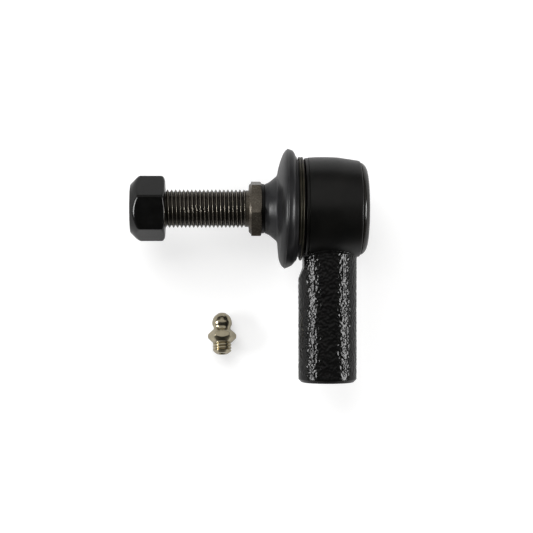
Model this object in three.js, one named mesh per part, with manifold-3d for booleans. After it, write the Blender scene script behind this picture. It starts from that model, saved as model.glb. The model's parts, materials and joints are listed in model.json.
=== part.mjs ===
import * as THREE from "three";
import { mergeVertices } from "three/addons/utils/BufferGeometryUtils.js";
import Module from "manifold-3d";

// Tie rod end, in millimetres. X runs along the stud towards the closed end of the socket, Y runs up the
// shank from its open end to the ball, and Z points up from the surface that the joint lies on.
// The origin is the centre of the shank's mouth. Shapes are drawn around the ball's centre.

const wasm = await Module();
wasm.setup();

// Driving dimensions
const SHANK_REACH = 54.2; // from the ball's centre to the shank's mouth
const SHANK_RADIUS = 9.1;
const SHANK_CHAMFER = 1.0;
const SHANK_BORE_RADIUS = 5.35; // crests of the M12 x 1.25 inner thread
const SHANK_BORE_DEPTH = 32.0;
const SHANK_COUNTERSINK = 0.9;
const DRILL_CONE = 2.6;

const BARREL_RADIUS = 16.15; // widest radius of the socket's eye
const BARREL_FRONT = -7.4;
const BARREL_BACK = 12.25;
// Places along the barrel's side, and how far each lies inside its widest radius
const BARREL_SIDE = [
  [BARREL_FRONT, 0.55],
  [-7.2, 0.35],
  [-6.4, 0.3],
  [-6.3, 0.15], // a narrow lip ends here
  [-1.5, 0],
  [3.0, 0.15],
  [6.5, 0.7],
  [9.6, 1.2],
  [10.1, 1.7], // the rolled edge starts here
  [10.9, 2.1],
  [11.55, 2.9],
  [12.1, 3.8],
  [BARREL_BACK, 4.7],
];
const NOSE_RADIUS = 13.5; // carries the boot's wide end
const NOSE_FRONT = -11.0;
const NOSE_CHAMFER = 0.4;
const MOUTH_RADIUS = 11.6; // the opening that the neck tilts in
const THROAT_RADIUS = 9.4;
const THROAT_AT = -6.0;
const THROAT_LAND = 0.4;
const SOCKET_BORE_RADIUS = 11.5;
const COVER_SEAT_AT = 11.3; // inner face of the rolled edge
const ROLLED_EDGE_RADIUS = 9.6; // inner radius of the rolled edge
const ROLLED_EDGE_FLARE = 0.5;
const SHANK_TOP = -5.0; // the shank's bar ends inside the eye
// Section, in X and radius, of the cut that turning the nose leaves at the shank's root
const ROOT_RELIEF = [
  [-12.0, 22.8],
  [-9.3, 22.0],
  [-7.6, 19.2],
  [-7.6, 10.0],
  [-12.0, 10.0],
];

const BALL_RADIUS = 8.5;
const NECK_RADIUS = 5.25;
const NECK_END_RADIUS = 5.7;
const NECK_TAPER_FROM = -14.0;
const NECK_TAPER_TO = -11.0;
const COLLAR_FLATS = 16.0;
const COLLAR_FROM = -24.6;
const COLLAR_TO = -20.9;
const COLLAR_CONE_TO = -19.8;
const COLLAR_CONE_RADIUS = 7.65;
const COLLAR_CHAMFER = 1.0;
const COLLAR_FACE_RADIUS = 7.95;
const COLLAR_CORNER_DEG = -9.5; // a corner's angle from +Z towards +Y
const COLLAR_RELIEF_RADIUS = 6.3; // a groove around the shoulder, so that the arm lies flat on the collar
const COLLAR_RELIEF_DEPTH = 0.3;
const SHOULDER_FROM = -26.1;
const SHOULDER_RADIUS = 5.7;
const SHOULDER_TAPER = 0.3;
const THREAD_RADIUS = 6.0; // M12 crests
const STUD_TIP = -61.0;
const STUD_TIP_CHAMFER = 0.9;

const NUT_FLATS = 18.0;
const NUT_FROM = -61.5;
const NUT_HEIGHT = 10.8;
const NUT_BORE_RADIUS = 6.15;
const NUT_OUTER_FACE_RADIUS = 7.45; // the deep chamfer leaves this round face at the outer end
const NUT_INNER_FACE_RADIUS = 8.75;
const NUT_CORNER_DEG = -40.0;
const NUT_INNER_CHAMFER_DEG = 30;
const NUT_COUNTERSINK = 0.4;

const SEAT_CLEARANCE = 0.1; // running clearance around the ball and in the socket
const PIECE_GAP = 0.3; // between pieces that rest on each other
const SEAT_WRAP = 3.3; // how far the upper seat reaches past the ball's centre
const SEAT_OPENING_RADIUS = 9.1;
const SEAT_SPLIT = 0.2; // half of the gap between the two seats
const LOWER_SEAT_FLANGE = 5.4;
const LOWER_SEAT_BACK = 9.3;
const LOWER_SEAT_BOSS_RADIUS = 7.8;
const LOWER_SEAT_BOSS_TAPER = 0.6;
const SEAT_GREASE_HOLE_RADIUS = 1.2;

const COVER_THICKNESS = 1.4;
const COVER_BOSS_RADIUS = 5.2;
const COVER_BOSS_HEIGHT = 1.3;
const COVER_BOSS_TAPER = 0.8;
const PORT_RADIUS = 2.5; // M6 x 1 inner thread

const PRELOAD_WIRE_RADIUS = 0.5;
const PRELOAD_COIL_RADIUS = 9.6;
const PRELOAD_TURNS = 2;

const BOOT_SMALL_END = -19.4;
const BOOT_RIM_AT = -12.95;
const BOOT_RIM_RADIUS = 18.75;
const BOOT_HEEL_AT = -9.7;
const BOOT_BEAD_RADIUS = 15.1;
const BOOT_BEAD_END = -7.7;
const BOOT_HOLE_RADIUS = NECK_END_RADIUS + PIECE_GAP;
const BOOT_SEAT_RADIUS = NOSE_RADIUS + PIECE_GAP;
// The boot's outside: a cone off the neck, a fold, a bell out to the rim, and the bead on the nose
const BOOT_OUTSIDE = [
  [BOOT_SMALL_END, 7.65],
  [-18.2, 8.45],
  [-17.2, 9.25],
  [-16.4, 9.95],
  [-15.8, 10.5],
  [-15.5, 12.0],
  [-15.15, 14.0],
  [-14.7, 16.0],
  [-14.1, 17.5],
  [-13.4, 18.4],
  [BOOT_RIM_AT, BOOT_RIM_RADIUS],
  [-12.35, 18.45],
  [-11.7, 18.05],
  [-10.8, 17.0],
  [-10.0, 16.25],
  [BOOT_HEEL_AT, 16.1],
  [BOOT_HEEL_AT, BOOT_BEAD_RADIUS],
  [BOOT_BEAD_END, BOOT_BEAD_RADIUS],
];
// The boot's inside, from the bead back to the neck
const BOOT_INSIDE = [
  [BOOT_BEAD_END, BOOT_SEAT_RADIUS],
  [-10.9, BOOT_SEAT_RADIUS],
  [-11.3, 15.2],
  [-12.0, 16.7],
  [BOOT_RIM_AT, 17.5],
  [-13.5, 16.2],
  [-14.0, 14.0],
  [-14.35, 11.6],
  [-14.6, 9.9],
  [-15.8, 8.6],
  [-17.6, BOOT_HOLE_RADIUS + 0.8],
  [-18.2, BOOT_HOLE_RADIUS],
  [BOOT_SMALL_END, BOOT_HOLE_RADIUS],
];

const RING_WIRE_RADIUS = 0.36;
const RING_COIL_RADIUS = 15.85;
const RING_AT = -9.22; // centre of the wire where the coil starts
const RING_TURNS = 1.6;
const RING_PITCH = 0.78;
const RING_START_DEG = -46;

const FLOOR = -BOOT_RIM_RADIUS; // the rim touches the surface that the joint lies on
const FITTING_TILT_DEG = 15.5;
const FITTING_HEX_CENTRE = [-32.85, -40.5]; // X and Y from the ball's centre
const FITTING_FLATS = 8.0;
// The head, from its tip to the neck, as axial places and radii
const FITTING_HEAD_REST = [2.4, 3.05]; // lowest point of the head as it lies
const FITTING_HEAD = [
  [0, 1.3],
  [0.3, 1.6],
  [1.3, 2.5],
  FITTING_HEAD_REST,
  [3.2, 3.2],
  [3.8, 3.05],
  [4.7, 2.7],
];
const FITTING_NECK_RADIUS = 2.7;
const FITTING_GROOVE_RADIUS = 2.45;
const FITTING_HEX_FROM = 5.4;
const FITTING_HEX_TO = 9.6;
const FITTING_HEX_FACE_RADIUS = 2.9;
const FITTING_HEX_CORNER_DEG = 30;
const FITTING_THREAD_RADIUS = 2.95; // M6
const FITTING_THREAD_FROM = 10.2;
const FITTING_LENGTH = 13.2;
const FITTING_END_TAPER = 1.0;
const FITTING_END_RADIUS = 2.05;
const FITTING_BORE_RADIUS = 1.3;
const FITTING_MOUTH_RADIUS = 0.75;
const FITTING_MOUTH_DEPTH = 1.0;
const FITTING_MOUTH_FLARE = 0.5; // length of the cone that the check ball closes
const FITTING_LIP = 0.5;
const FITTING_OUTLET_RADIUS = 0.95;
const CHECK_BALL_RADIUS = 1.05;
const CHECK_SPRING_WIRE_RADIUS = 0.16;
const CHECK_SPRING_COIL_RADIUS = 0.85;
const CHECK_SPRING_TURNS = 6;

const CUT_PAST = 1.0; // how far a cut reaches past the face that it opens
const OVERLAP = 0.5; // how far joined shapes reach into each other

// How finely round shapes are cut
const WIDE_SEGMENTS = 40;
const SMALL_SEGMENTS = 24;
const RING_STEPS_PER_TURN = 36;
const COIL_STEPS_PER_TURN = 24;
const FINE_COIL_STEPS_PER_TURN = 12;
const WIRE_SIDES = 6;
const BALL_STEPS = 14;
const SEAT_STEPS = 10;
const SEAT_LIP_STEPS = 5;
const WELD_DISTANCE = 1e-4;

// Point on a circle, in a profile of [axial place, radius] points
function arcPoints(centre, radius, fromDeg, toDeg, steps) {
  const points = [];
  for (let i = 0; i <= steps; i += 1) {
    const angle = THREE.MathUtils.degToRad(fromDeg + ((toDeg - fromDeg) * i) / steps);
    points.push([centre[0] + radius * Math.cos(angle), centre[1] + radius * Math.sin(angle)]);
  }
  return points;
}

// Half-height of a chord across a sphere around the ball's centre
function chordRadius(radius, at) {
  return Math.sqrt(radius * radius - at * at);
}

// The angle, in degrees from +X, at which a sphere around the ball's centre reaches an axial place
function sphereAngle(radius, at) {
  return THREE.MathUtils.radToDeg(Math.acos(at / radius));
}

function latheOf(profile, segments) {
  return new THREE.LatheGeometry(profile.map(([at, radius]) => new THREE.Vector2(radius, at)), segments);
}

// Turned about X: the profile runs along the outside towards +X
function turned(profile, segments = WIDE_SEGMENTS) {
  return latheOf(profile, segments).rotateZ(-Math.PI / 2);
}

// Turned about X with a hole: the profile is a loop that closes on its first point
function turnedRing(profile, segments = WIDE_SEGMENTS) {
  return turned([...profile, profile[0]], segments);
}

function hexBar(flats, from, to, cornerDeg) {
  const outline = new THREE.Shape();
  for (let i = 0; i < 6; i += 1) {
    const angle = THREE.MathUtils.degToRad(cornerDeg - 60 * i);
    const y = (flats / Math.sqrt(3)) * Math.sin(angle);
    const z = (flats / Math.sqrt(3)) * Math.cos(angle);
    if (i === 0) {
      outline.moveTo(y, z);
    } else {
      outline.lineTo(y, z);
    }
  }
  const bar = new THREE.ExtrudeGeometry(outline, { depth: to - from, bevelEnabled: false });
  const alongX = new THREE.Matrix4().makeBasis(
    new THREE.Vector3(0, 1, 0),
    new THREE.Vector3(0, 0, 1),
    new THREE.Vector3(1, 0, 0),
  );
  return bar.applyMatrix4(alongX).translate(from, 0, 0);
}

class Helix extends THREE.Curve {
  constructor(radius, from, pitch, turns, startDeg) {
    super();
    Object.assign(this, { radius, from, pitch, turns, startDeg });
  }

  getPoint(t, target = new THREE.Vector3()) {
    const angle = THREE.MathUtils.degToRad(this.startDeg) + 2 * Math.PI * this.turns * t;
    const x = this.from + this.pitch * this.turns * t;
    return target.set(x, this.radius * Math.sin(angle), this.radius * Math.cos(angle));
  }
}

function coil({ radius, wire, from, pitch, turns, startDeg = 0, stepsPerTurn, sides }) {
  const section = new THREE.Shape();
  section.absarc(0, 0, wire, 0, 2 * Math.PI);
  return new THREE.ExtrudeGeometry(section, {
    extrudePath: new Helix(radius, from, pitch, turns, startDeg),
    steps: Math.round(stepsPerTurn * turns),
    curveSegments: sides / 2, // an arc is cut twice as finely as this says
    bevelEnabled: false,
  });
}

function toSolid(geometry) {
  const bare = geometry.clone();
  bare.deleteAttribute("normal");
  bare.deleteAttribute("uv");
  const merged = mergeVertices(bare, WELD_DISTANCE);
  const index = merged.index.array;
  const triangles = [];
  for (let i = 0; i < index.length; i += 3) {
    const [a, b, c] = [index[i], index[i + 1], index[i + 2]];
    if (a !== b && b !== c && c !== a) {
      triangles.push(a, b, c);
    }
  }
  const mesh = new wasm.Mesh({
    numProp: 3,
    vertProperties: new Float32Array(merged.attributes.position.array),
    triVerts: new Uint32Array(triangles),
  });
  return new wasm.Manifold(mesh);
}

function toGeometry(solid) {
  const mesh = solid.getMesh();
  const geometry = new THREE.BufferGeometry();
  geometry.setAttribute("position", new THREE.BufferAttribute(new Float32Array(mesh.vertProperties), 3));
  geometry.setIndex(new THREE.BufferAttribute(new Uint32Array(mesh.triVerts), 1));
  return geometry;
}

function piece(name, geometry, color, roughness, metalness) {
  const material = new THREE.MeshStandardMaterial({ color, roughness, metalness });
  const mesh = new THREE.Mesh(geometry, material);
  mesh.name = name;
  return mesh;
}

// The turned outside of the socket's eye, still solid
function eyeBlank() {
  return turned([
    [NOSE_FRONT, 0],
    [NOSE_FRONT, NOSE_RADIUS - NOSE_CHAMFER],
    [NOSE_FRONT + NOSE_CHAMFER, NOSE_RADIUS],
    [BARREL_FRONT, NOSE_RADIUS],
    ...BARREL_SIDE.map(([at, inside]) => [at, BARREL_RADIUS - inside]),
    [BARREL_BACK, 0],
  ]);
}

function shankBlank() {
  return latheOf(
    [
      [-SHANK_REACH, 0],
      [-SHANK_REACH, SHANK_RADIUS - SHANK_CHAMFER],
      [-SHANK_REACH + SHANK_CHAMFER, SHANK_RADIUS],
      [SHANK_TOP, SHANK_RADIUS],
      [SHANK_TOP, 0],
    ],
    WIDE_SEGMENTS,
  );
}

function socketBore() {
  return turned([
    [NOSE_FRONT - CUT_PAST, 0],
    [NOSE_FRONT - CUT_PAST, MOUTH_RADIUS],
    [NOSE_FRONT, MOUTH_RADIUS],
    [THROAT_AT - THROAT_LAND, THROAT_RADIUS],
    [THROAT_AT, THROAT_RADIUS],
    [THROAT_AT, SOCKET_BORE_RADIUS],
    [COVER_SEAT_AT, SOCKET_BORE_RADIUS],
    [COVER_SEAT_AT, ROLLED_EDGE_RADIUS],
    [BARREL_BACK + CUT_PAST, ROLLED_EDGE_RADIUS + ROLLED_EDGE_FLARE],
    [BARREL_BACK + CUT_PAST, 0],
  ]);
}

function shankBore() {
  const bottom = -SHANK_REACH + SHANK_BORE_DEPTH;
  return latheOf(
    [
      [-SHANK_REACH - CUT_PAST, 0],
      [-SHANK_REACH - CUT_PAST, SHANK_BORE_RADIUS + SHANK_COUNTERSINK + CUT_PAST],
      [-SHANK_REACH + SHANK_COUNTERSINK, SHANK_BORE_RADIUS],
      [bottom, SHANK_BORE_RADIUS],
      [bottom + DRILL_CONE, 0],
    ],
    WIDE_SEGMENTS,
  );
}

function socketHousing() {
  const shank = toSolid(shankBlank()).subtract(toSolid(turnedRing(ROOT_RELIEF)));
  const forging = toSolid(eyeBlank()).add(shank);
  const bored = forging.subtract(toSolid(socketBore())).subtract(toSolid(shankBore()));
  return piece("socket_housing", toGeometry(bored), 0x101012, 0.3, 0.0);
}

// Collar, nut and grease fitting have hexes whose ends are cut by cones
function chamferedHex({ flats, from, to, cornerDeg, outerFace, innerFace, outerCone, innerCone }) {
  const corner = flats / Math.sqrt(3);
  const cones = turned([
    [from, 0],
    [from, outerFace],
    [from + outerCone, corner],
    [from + outerCone, corner + OVERLAP],
    [to - innerCone, corner + OVERLAP],
    [to - innerCone, corner],
    [to, innerFace],
    [to, 0],
  ]);
  return toSolid(hexBar(flats, from - OVERLAP, to + OVERLAP, cornerDeg)).intersect(toSolid(cones));
}

function ballStud() {
  const neckMeetsBall = sphereAngle(BALL_RADIUS, -chordRadius(BALL_RADIUS, NECK_RADIUS));
  const shaft = turned(
    [
      [STUD_TIP, 0],
      [STUD_TIP, THREAD_RADIUS - STUD_TIP_CHAMFER],
      [STUD_TIP + STUD_TIP_CHAMFER, THREAD_RADIUS],
      [SHOULDER_FROM - SHOULDER_TAPER, THREAD_RADIUS],
      [SHOULDER_FROM, SHOULDER_RADIUS],
      [COLLAR_TO, SHOULDER_RADIUS],
      [COLLAR_TO, NECK_END_RADIUS],
      [NECK_TAPER_FROM, NECK_END_RADIUS],
      [NECK_TAPER_TO, NECK_RADIUS],
      ...arcPoints([0, 0], BALL_RADIUS, neckMeetsBall, 0, BALL_STEPS),
    ],
    WIDE_SEGMENTS,
  );
  const collar = chamferedHex({
    flats: COLLAR_FLATS,
    from: COLLAR_FROM,
    to: COLLAR_CONE_TO,
    cornerDeg: COLLAR_CORNER_DEG,
    outerFace: COLLAR_FACE_RADIUS,
    innerFace: COLLAR_CONE_RADIUS,
    outerCone: COLLAR_CHAMFER,
    innerCone: COLLAR_CONE_TO - COLLAR_TO,
  });
  const relief = turned([
    [COLLAR_FROM - CUT_PAST, 0],
    [COLLAR_FROM - CUT_PAST, COLLAR_RELIEF_RADIUS],
    [COLLAR_FROM + COLLAR_RELIEF_DEPTH, COLLAR_RELIEF_RADIUS],
    [COLLAR_FROM + COLLAR_RELIEF_DEPTH, 0],
  ]);
  const stud = collar.subtract(toSolid(relief)).add(toSolid(shaft));
  return piece("ball_stud", toGeometry(stud), 0x4a4540, 0.35, 0.9);
}

function studNut() {
  const corner = NUT_FLATS / Math.sqrt(3);
  const innerSlope = Math.tan(THREE.MathUtils.degToRad(NUT_INNER_CHAMFER_DEG));
  const hex = chamferedHex({
    flats: NUT_FLATS,
    from: NUT_FROM,
    to: NUT_FROM + NUT_HEIGHT,
    cornerDeg: NUT_CORNER_DEG,
    outerFace: NUT_OUTER_FACE_RADIUS,
    innerFace: NUT_INNER_FACE_RADIUS,
    outerCone: corner - NUT_OUTER_FACE_RADIUS,
    innerCone: (corner - NUT_INNER_FACE_RADIUS) * innerSlope,
  });
  const inner = NUT_FROM + NUT_HEIGHT;
  const mouth = NUT_BORE_RADIUS + NUT_COUNTERSINK + CUT_PAST;
  const bore = turned([
    [NUT_FROM - CUT_PAST, 0],
    [NUT_FROM - CUT_PAST, mouth],
    [NUT_FROM + NUT_COUNTERSINK, NUT_BORE_RADIUS],
    [inner - NUT_COUNTERSINK, NUT_BORE_RADIUS],
    [inner + CUT_PAST, mouth],
    [inner + CUT_PAST, 0],
  ]);
  return piece("stud_nut", toGeometry(hex.subtract(toSolid(bore))), 0x0b0b0d, 0.25, 0.6);
}

function upperBearingSeat() {
  const inner = BALL_RADIUS + SEAT_CLEARANCE;
  const outer = SOCKET_BORE_RADIUS - SEAT_CLEARANCE;
  const front = THROAT_AT + PIECE_GAP;
  const splitAngle = sphereAngle(inner, -SEAT_SPLIT);
  const lipAngle = sphereAngle(inner, -SEAT_WRAP);
  const profile = [
    [front, SEAT_OPENING_RADIUS],
    [front, outer],
    [-SEAT_SPLIT, outer],
    ...arcPoints([0, 0], inner, splitAngle, lipAngle, SEAT_LIP_STEPS),
  ];
  return piece("upper_bearing_seat", turnedRing(profile), 0xd8d4c4, 0.5, 0.0);
}

function lowerBearingSeat() {
  const inner = BALL_RADIUS + SEAT_CLEARANCE;
  const outer = SOCKET_BORE_RADIUS - SEAT_CLEARANCE;
  const holeAngle = THREE.MathUtils.radToDeg(Math.asin(SEAT_GREASE_HOLE_RADIUS / inner));
  const profile = [
    [SEAT_SPLIT, outer],
    [LOWER_SEAT_FLANGE, outer],
    [LOWER_SEAT_FLANGE, LOWER_SEAT_BOSS_RADIUS],
    [LOWER_SEAT_BACK, LOWER_SEAT_BOSS_RADIUS - LOWER_SEAT_BOSS_TAPER],
    [LOWER_SEAT_BACK, SEAT_GREASE_HOLE_RADIUS],
    ...arcPoints([0, 0], inner, holeAngle, sphereAngle(inner, SEAT_SPLIT), SEAT_STEPS),
  ];
  return piece("lower_bearing_seat", turnedRing(profile), 0xd8d4c4, 0.5, 0.0);
}

function preloadSpring() {
  const coverFace = COVER_SEAT_AT - PIECE_GAP - COVER_THICKNESS;
  const from = LOWER_SEAT_FLANGE + PIECE_GAP + PRELOAD_WIRE_RADIUS;
  const to = coverFace - PIECE_GAP - PRELOAD_WIRE_RADIUS;
  const wire = coil({
    radius: PRELOAD_COIL_RADIUS,
    wire: PRELOAD_WIRE_RADIUS,
    from,
    pitch: (to - from) / PRELOAD_TURNS,
    turns: PRELOAD_TURNS,
    stepsPerTurn: COIL_STEPS_PER_TURN,
    sides: WIRE_SIDES,
  });
  return piece("preload_spring", wire, 0x6b6e72, 0.35, 1.0);
}

function coverPlate() {
  const back = COVER_SEAT_AT - PIECE_GAP;
  const front = back - COVER_THICKNESS;
  const rim = SOCKET_BORE_RADIUS - PIECE_GAP;
  const profile = [
    [front, PORT_RADIUS],
    [front, rim],
    [back, rim],
    [back, COVER_BOSS_RADIUS + COVER_BOSS_TAPER],
    [back + COVER_BOSS_HEIGHT, COVER_BOSS_RADIUS],
    [back + COVER_BOSS_HEIGHT, PORT_RADIUS],
  ];
  return piece("cover_plate", turnedRing(profile), 0x141416, 0.35, 0.3);
}

function dustBoot() {
  return piece("dust_boot", turnedRing([...BOOT_OUTSIDE, ...BOOT_INSIDE]), 0x26262a, 0.6, 0.0);
}

function bootRetainingRing() {
  const wire = coil({
    radius: RING_COIL_RADIUS,
    wire: RING_WIRE_RADIUS,
    from: RING_AT,
    pitch: RING_PITCH,
    turns: RING_TURNS,
    startDeg: RING_START_DEG,
    stepsPerTurn: RING_STEPS_PER_TURN,
    sides: WIRE_SIDES,
  });
  return piece("boot_retaining_ring", wire, 0x3a362c, 0.4, 0.9);
}

function greaseFittingBody() {
  const body = turned(
    [
      [0, 0],
      ...FITTING_HEAD,
      [FITTING_HEX_FROM + OVERLAP, FITTING_NECK_RADIUS],
      [FITTING_HEX_TO - OVERLAP, FITTING_GROOVE_RADIUS],
      [FITTING_THREAD_FROM - (FITTING_THREAD_RADIUS - FITTING_GROOVE_RADIUS), FITTING_GROOVE_RADIUS],
      [FITTING_THREAD_FROM, FITTING_THREAD_RADIUS],
      [FITTING_LENGTH - FITTING_END_TAPER, FITTING_THREAD_RADIUS],
      [FITTING_LENGTH, FITTING_END_RADIUS],
      [FITTING_LENGTH, 0],
    ],
    SMALL_SEGMENTS,
  );
  const cone = FITTING_FLATS / Math.sqrt(3) - FITTING_HEX_FACE_RADIUS;
  const hex = chamferedHex({
    flats: FITTING_FLATS,
    from: FITTING_HEX_FROM,
    to: FITTING_HEX_TO,
    cornerDeg: FITTING_HEX_CORNER_DEG,
    outerFace: FITTING_HEX_FACE_RADIUS,
    innerFace: FITTING_HEX_FACE_RADIUS,
    outerCone: cone,
    innerCone: cone,
  });
  const bore = turned(
    [
      [-CUT_PAST, 0],
      [-CUT_PAST, FITTING_MOUTH_RADIUS],
      [FITTING_MOUTH_DEPTH, FITTING_MOUTH_RADIUS],
      [FITTING_MOUTH_DEPTH + FITTING_MOUTH_FLARE, FITTING_BORE_RADIUS],
      [FITTING_LENGTH - FITTING_LIP, FITTING_BORE_RADIUS],
      [FITTING_LENGTH - FITTING_LIP, FITTING_OUTLET_RADIUS],
      [FITTING_LENGTH + CUT_PAST, FITTING_OUTLET_RADIUS],
      [FITTING_LENGTH + CUT_PAST, 0],
    ],
    SMALL_SEGMENTS,
  );
  const solid = toSolid(body).add(hex).subtract(toSolid(bore));
  return piece("grease_fitting_body", toGeometry(solid), 0xc9c1ad, 0.25, 1.0);
}

function checkBallCentre() {
  const sunk = Math.sqrt(CHECK_BALL_RADIUS ** 2 - FITTING_MOUTH_RADIUS ** 2);
  return FITTING_MOUTH_DEPTH + sunk + SEAT_CLEARANCE;
}

function greaseFittingCheckBall() {
  const ball = turned(
    arcPoints([checkBallCentre(), 0], CHECK_BALL_RADIUS, 180, 0, SEAT_STEPS),
    SMALL_SEGMENTS,
  );
  return piece("grease_fitting_check_ball", ball, 0xb8b8bc, 0.15, 1.0);
}

function greaseFittingSpring() {
  const from = checkBallCentre() + CHECK_BALL_RADIUS + PIECE_GAP;
  const to = FITTING_LENGTH - FITTING_LIP - PIECE_GAP - CHECK_SPRING_WIRE_RADIUS;
  const wire = coil({
    radius: CHECK_SPRING_COIL_RADIUS,
    wire: CHECK_SPRING_WIRE_RADIUS,
    from,
    pitch: (to - from) / CHECK_SPRING_TURNS,
    turns: CHECK_SPRING_TURNS,
    stepsPerTurn: FINE_COIL_STEPS_PER_TURN,
    sides: WIRE_SIDES,
  });
  return piece("grease_fitting_spring", wire, 0x9a9c9f, 0.3, 1.0);
}

// The fitting lies on its head, close to its hex, with its thread end raised
function looseGreaseFitting() {
  const tilt = THREE.MathUtils.degToRad(FITTING_TILT_DEG);
  const along = new THREE.Vector3(0, -Math.cos(tilt), Math.sin(tilt));
  const across = new THREE.Vector3(1, 0, 0);
  const up = new THREE.Vector3(0, Math.sin(tilt), Math.cos(tilt));
  const headLow = FITTING_HEAD_REST[0] * along.z - FITTING_HEAD_REST[1] * up.z;
  const hexCentre = (FITTING_HEX_FROM + FITTING_HEX_TO) / 2;
  const fitting = new THREE.Group();
  fitting.setRotationFromMatrix(new THREE.Matrix4().makeBasis(along, across, up));
  fitting.position.set(
    FITTING_HEX_CENTRE[0],
    FITTING_HEX_CENTRE[1] - hexCentre * along.y,
    FLOOR - headLow,
  );
  fitting.add(greaseFittingBody(), greaseFittingCheckBall(), greaseFittingSpring());
  return fitting;
}

const joint = new THREE.Group();
joint.position.y = SHANK_REACH;
joint.add(
  socketHousing(),
  coverPlate(),
  bootRetainingRing(),
  upperBearingSeat(),
  lowerBearingSeat(),
  preloadSpring(),
  dustBoot(),
  ballStud(),
  studNut(),
  looseGreaseFitting(),
);

const tieRodEnd = new THREE.Group();
tieRodEnd.add(joint);

export default tieRodEnd;
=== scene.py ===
import json
import math

import bmesh
import bpy
import numpy as np
from mathutils import Matrix, Vector, noise


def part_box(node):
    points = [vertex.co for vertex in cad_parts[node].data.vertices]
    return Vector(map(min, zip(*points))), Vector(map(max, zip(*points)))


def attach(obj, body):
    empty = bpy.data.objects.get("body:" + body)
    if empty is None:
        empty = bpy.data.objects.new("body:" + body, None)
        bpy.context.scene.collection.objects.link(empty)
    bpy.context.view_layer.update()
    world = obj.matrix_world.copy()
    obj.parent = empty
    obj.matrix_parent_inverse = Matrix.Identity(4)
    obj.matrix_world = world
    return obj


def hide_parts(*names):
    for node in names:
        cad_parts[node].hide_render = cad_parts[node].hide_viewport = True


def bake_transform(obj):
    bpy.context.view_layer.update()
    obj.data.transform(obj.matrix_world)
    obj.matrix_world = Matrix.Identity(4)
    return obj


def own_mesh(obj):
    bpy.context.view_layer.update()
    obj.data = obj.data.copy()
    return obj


# A tie rod end: the fine, visible meshes of its pieces, their materials, and a plain studio.
# Lengths below are millimetres around the ball's centre, and Form.build() turns them into metres.
# A profile is a list of (place, radius) pairs along the axis it is turned about.

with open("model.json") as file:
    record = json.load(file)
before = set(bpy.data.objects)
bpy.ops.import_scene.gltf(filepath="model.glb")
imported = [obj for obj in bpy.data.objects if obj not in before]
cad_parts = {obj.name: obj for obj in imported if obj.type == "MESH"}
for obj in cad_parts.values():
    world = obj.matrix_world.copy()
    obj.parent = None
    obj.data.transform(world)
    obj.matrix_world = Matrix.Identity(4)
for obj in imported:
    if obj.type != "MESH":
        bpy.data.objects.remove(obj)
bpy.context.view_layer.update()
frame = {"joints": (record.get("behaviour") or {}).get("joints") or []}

MM = 0.001
JOINTS = {joint["name"]: joint for joint in frame["joints"]}
BALL = Vector(JOINTS["stud_tilt"]["pos_m"])
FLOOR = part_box("dust_boot")[0].z
ROUND = 192  # steps round the wide pieces

# Socket
SHANK_REACH = BALL.y / MM
SHANK_RADIUS = 9.1
SHANK_MOUTH_EDGE = 1.3  # how far the mouth's own turned surface reaches up the shank
SHANK_AROUND, SHANK_ALONG = 360, 250  # steps of the forged skin
THREAD_INSET = 0.75  # from the mouth to the thread
BARREL_RADIUS = 16.15
BARREL_FRONT = -7.4
NOSE_RADIUS = 13.5
NOSE_FRONT = -11.0
THROAT_AT = -6.0
SOCKET_BORE_RADIUS = 11.5
COVER_SEAT_AT = 11.3
BARREL_BACK = 12.25
ROLLED_EDGE_AT = 10.0
SHANK_BORE_BOTTOM = -SHANK_REACH + 32.0

# Threads
M12_CREST, M12_ROOT, M12_PITCH = 6.0, 5.27, 1.25
M12_BORE_INNER, M12_BORE_END = 5.35, 5.75
M6_CREST, M6_ROOT, M6_PITCH = 2.97, 2.45, 1.0
PORT_INNER, PORT_OUTER = 2.48, 2.95

# Boot
BOOT_LEAN = 0.026  # the loose rim hangs a little askew

# Stud and nut
BALL_RADIUS = 8.5
NECK_END, NECK_END_RADIUS = -6.72, 5.2  # where the neck meets the ball
NECK_RADIUS = 5.25
SHOULDER_RADIUS = 5.7
STUD_TIP = -61.0
TIP_CHAMFER, TIP_RADIUS = 0.15, 5.1
SHOULDER_FROM = -26.1
COLLAR_FLATS, COLLAR_CORNER = 16.0, -9.5  # a corner's angle, in degrees
COLLAR_FROM, COLLAR_HEX_TO, COLLAR_TO = -24.6, -20.7, -19.8
NUT_FLATS, NUT_CORNER = 18.0, -40.0
NUT_FROM, NUT_TO = -61.5, -50.7

# Grease fitting, from its head's tip
FITTING_TILT = math.radians(15.5)
FITTING_LENGTH = 13.2
FITTING_FLATS, FITTING_CORNER = 8.0, 30
HEX_FROM, HEX_TO = 5.4, 9.6
FITTING_HEX_Y = -40.5  # from the ball's centre
FITTING_HEAD_REST = (2.4, 3.05)  # the point of the head that touches the floor


# ---------- mesh code ----------

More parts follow.
